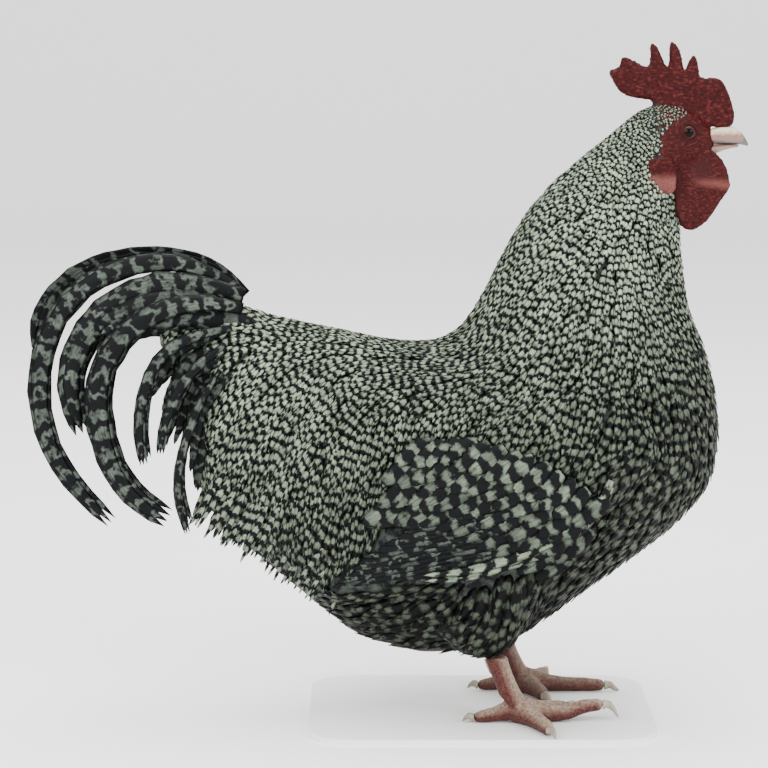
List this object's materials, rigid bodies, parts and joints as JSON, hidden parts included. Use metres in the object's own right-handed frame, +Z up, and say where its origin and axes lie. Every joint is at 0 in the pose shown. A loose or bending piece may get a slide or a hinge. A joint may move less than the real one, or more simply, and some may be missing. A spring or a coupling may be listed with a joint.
{
  "type": "rooster figure",
  "caption": "Life-size barred grey rooster of a heavy short-legged breed, standing, with a red single comb, wattles and arched sickle tail feathers.",
  "frame": {"origin": "on the floor, midway along and across the bird's outline", "axes": "+X the way the bird faces, +Y its left side, +Z up"},
  "size_m": [0.4898, 0.194, 0.4596],
  "materials": {
    "hackle": "pale grey neck feathers, finely barred with dark grey",
    "body_feather": "soft feathers barred dark slate and pale grey",
    "tail_feather": "long glossy dark slate feathers with broad pale bars",
    "comb": "dark red bare skin with a pebbled surface",
    "earlobe": "pinkish red bare skin",
    "beak": "cream horn with a pink flush and a grey edge",
    "eye": "wet dark brown eye",
    "leg": "pink skin with cream scutes",
    "claw": "grey-brown horn",
    "stand": "plain pale matt plate"
  },
  "bodies": {
    "root": {"beak_lower": "beak", "beak_upper": "beak", "claw_hind_left": "claw", "claw_hind_right": "claw", "claw_inner_left": "claw", "claw_inner_right": "claw", "claw_middle_left": "claw", "claw_middle_right": "claw", "claw_outer_left": "claw", "claw_outer_right": "claw", "comb": "comb", "earlobe_left": "earlobe", "earlobe_right": "earlobe", "eye_left": "eye", "eye_right": "eye", "foot_left": "leg", "foot_right": "leg", "hanger_lower_left": "tail_feather", "hanger_lower_right": "tail_feather", "hanger_middle_left": "tail_feather", "hanger_middle_right": "tail_feather", "hanger_upper_left": "tail_feather", "hanger_upper_right": "tail_feather", "head": "hackle", "neck": "hackle", "shank_left": "leg", "shank_right": "leg", "sickle_lesser_left": "tail_feather", "sickle_lesser_right": "tail_feather", "sickle_main_left": "tail_feather", "sickle_main_right": "tail_feather", "sickle_side_left": "tail_feather", "sickle_side_right": "tail_feather", "spur_left": "claw", "spur_right": "claw", "tail_base": "tail_feather", "tail_fan_left": "tail_feather", "tail_fan_right": "tail_feather", "thigh_left": "body_feather", "thigh_right": "body_feather", "trunk": "body_feather", "wattle_left": "comb", "wattle_right": "comb", "wing_left": "body_feather", "wing_right": "body_feather", "stand_base": "stand"}
  },
  "joints": []
}
